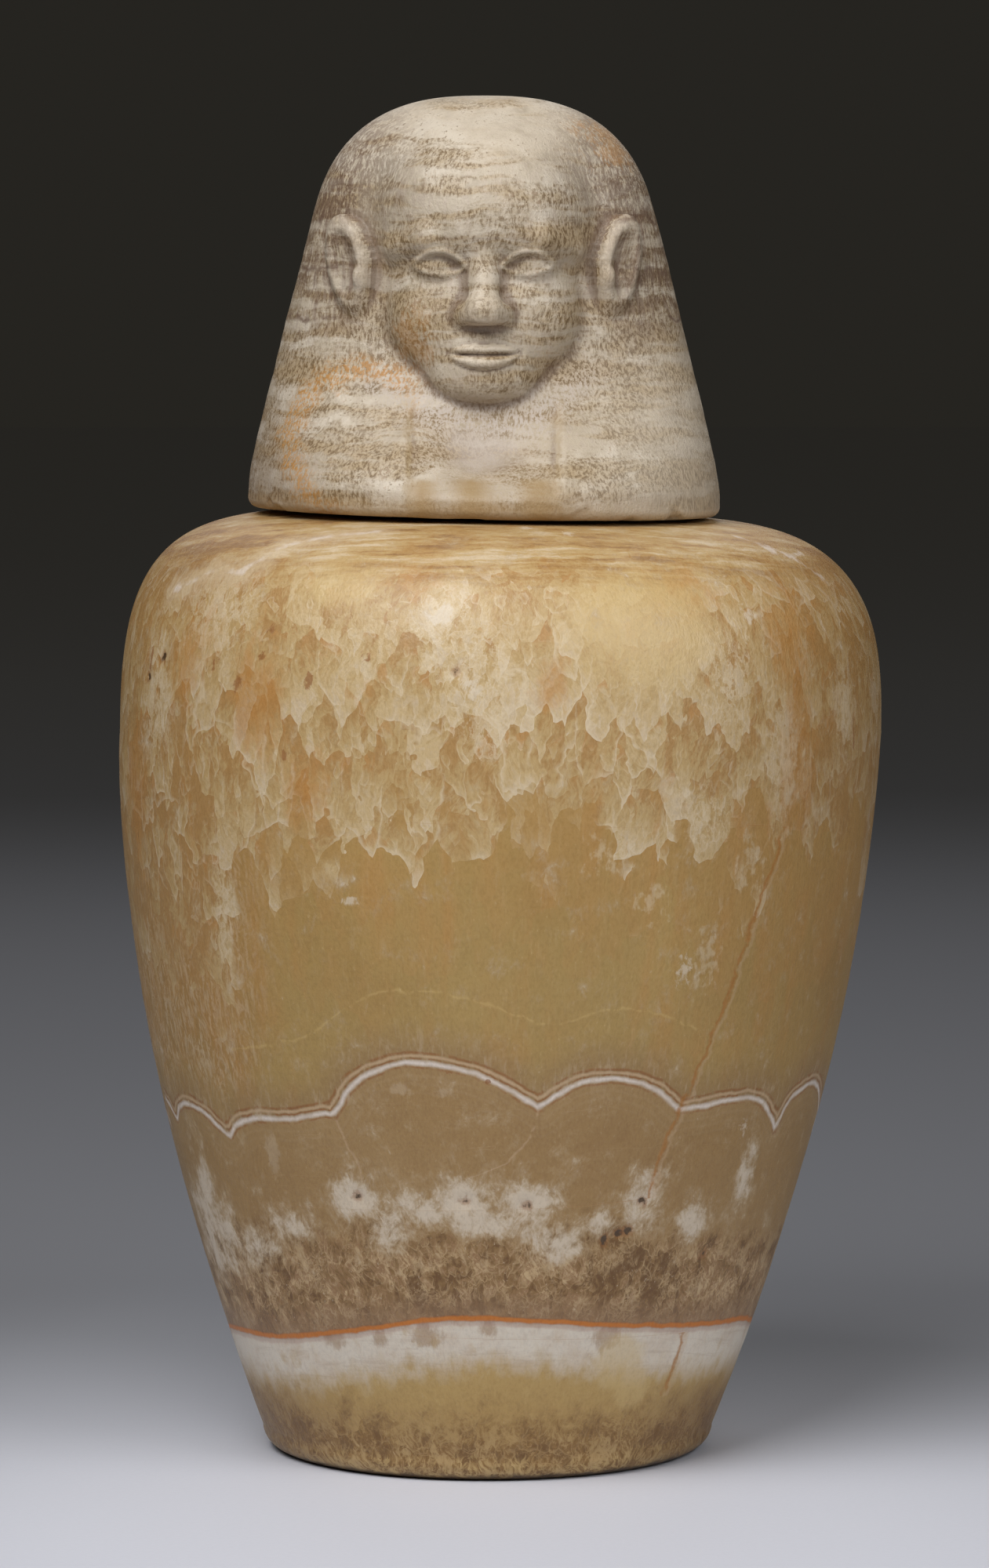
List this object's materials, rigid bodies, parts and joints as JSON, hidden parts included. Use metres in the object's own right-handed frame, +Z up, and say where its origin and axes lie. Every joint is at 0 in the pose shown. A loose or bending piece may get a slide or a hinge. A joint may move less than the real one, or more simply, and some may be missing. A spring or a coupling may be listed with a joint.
{
  "type": "canopic jar",
  "caption": "Hollow stone canopic jar with a tapering body and full shoulder, closed by a loose lid carved as a head in a plain wig.",
  "frame": {"origin": "on the standing surface, under the middle of the belly", "axes": "+Z up through the mouth, the lid's face looks along -Y, +X to the right of the picture"},
  "size_m": [0.2244, 0.2244, 0.4],
  "materials": {
    "banded_travertine": "polished honey-coloured calcite with pale, wavy and crystalline bands",
    "speckled_travertine": "worn, satin, pale grey-beige calcite with fine brown speckle"
  },
  "bodies": {
    "root": {"jar": "banded_travertine", "lid": "speckled_travertine"}
  },
  "joints": []
}
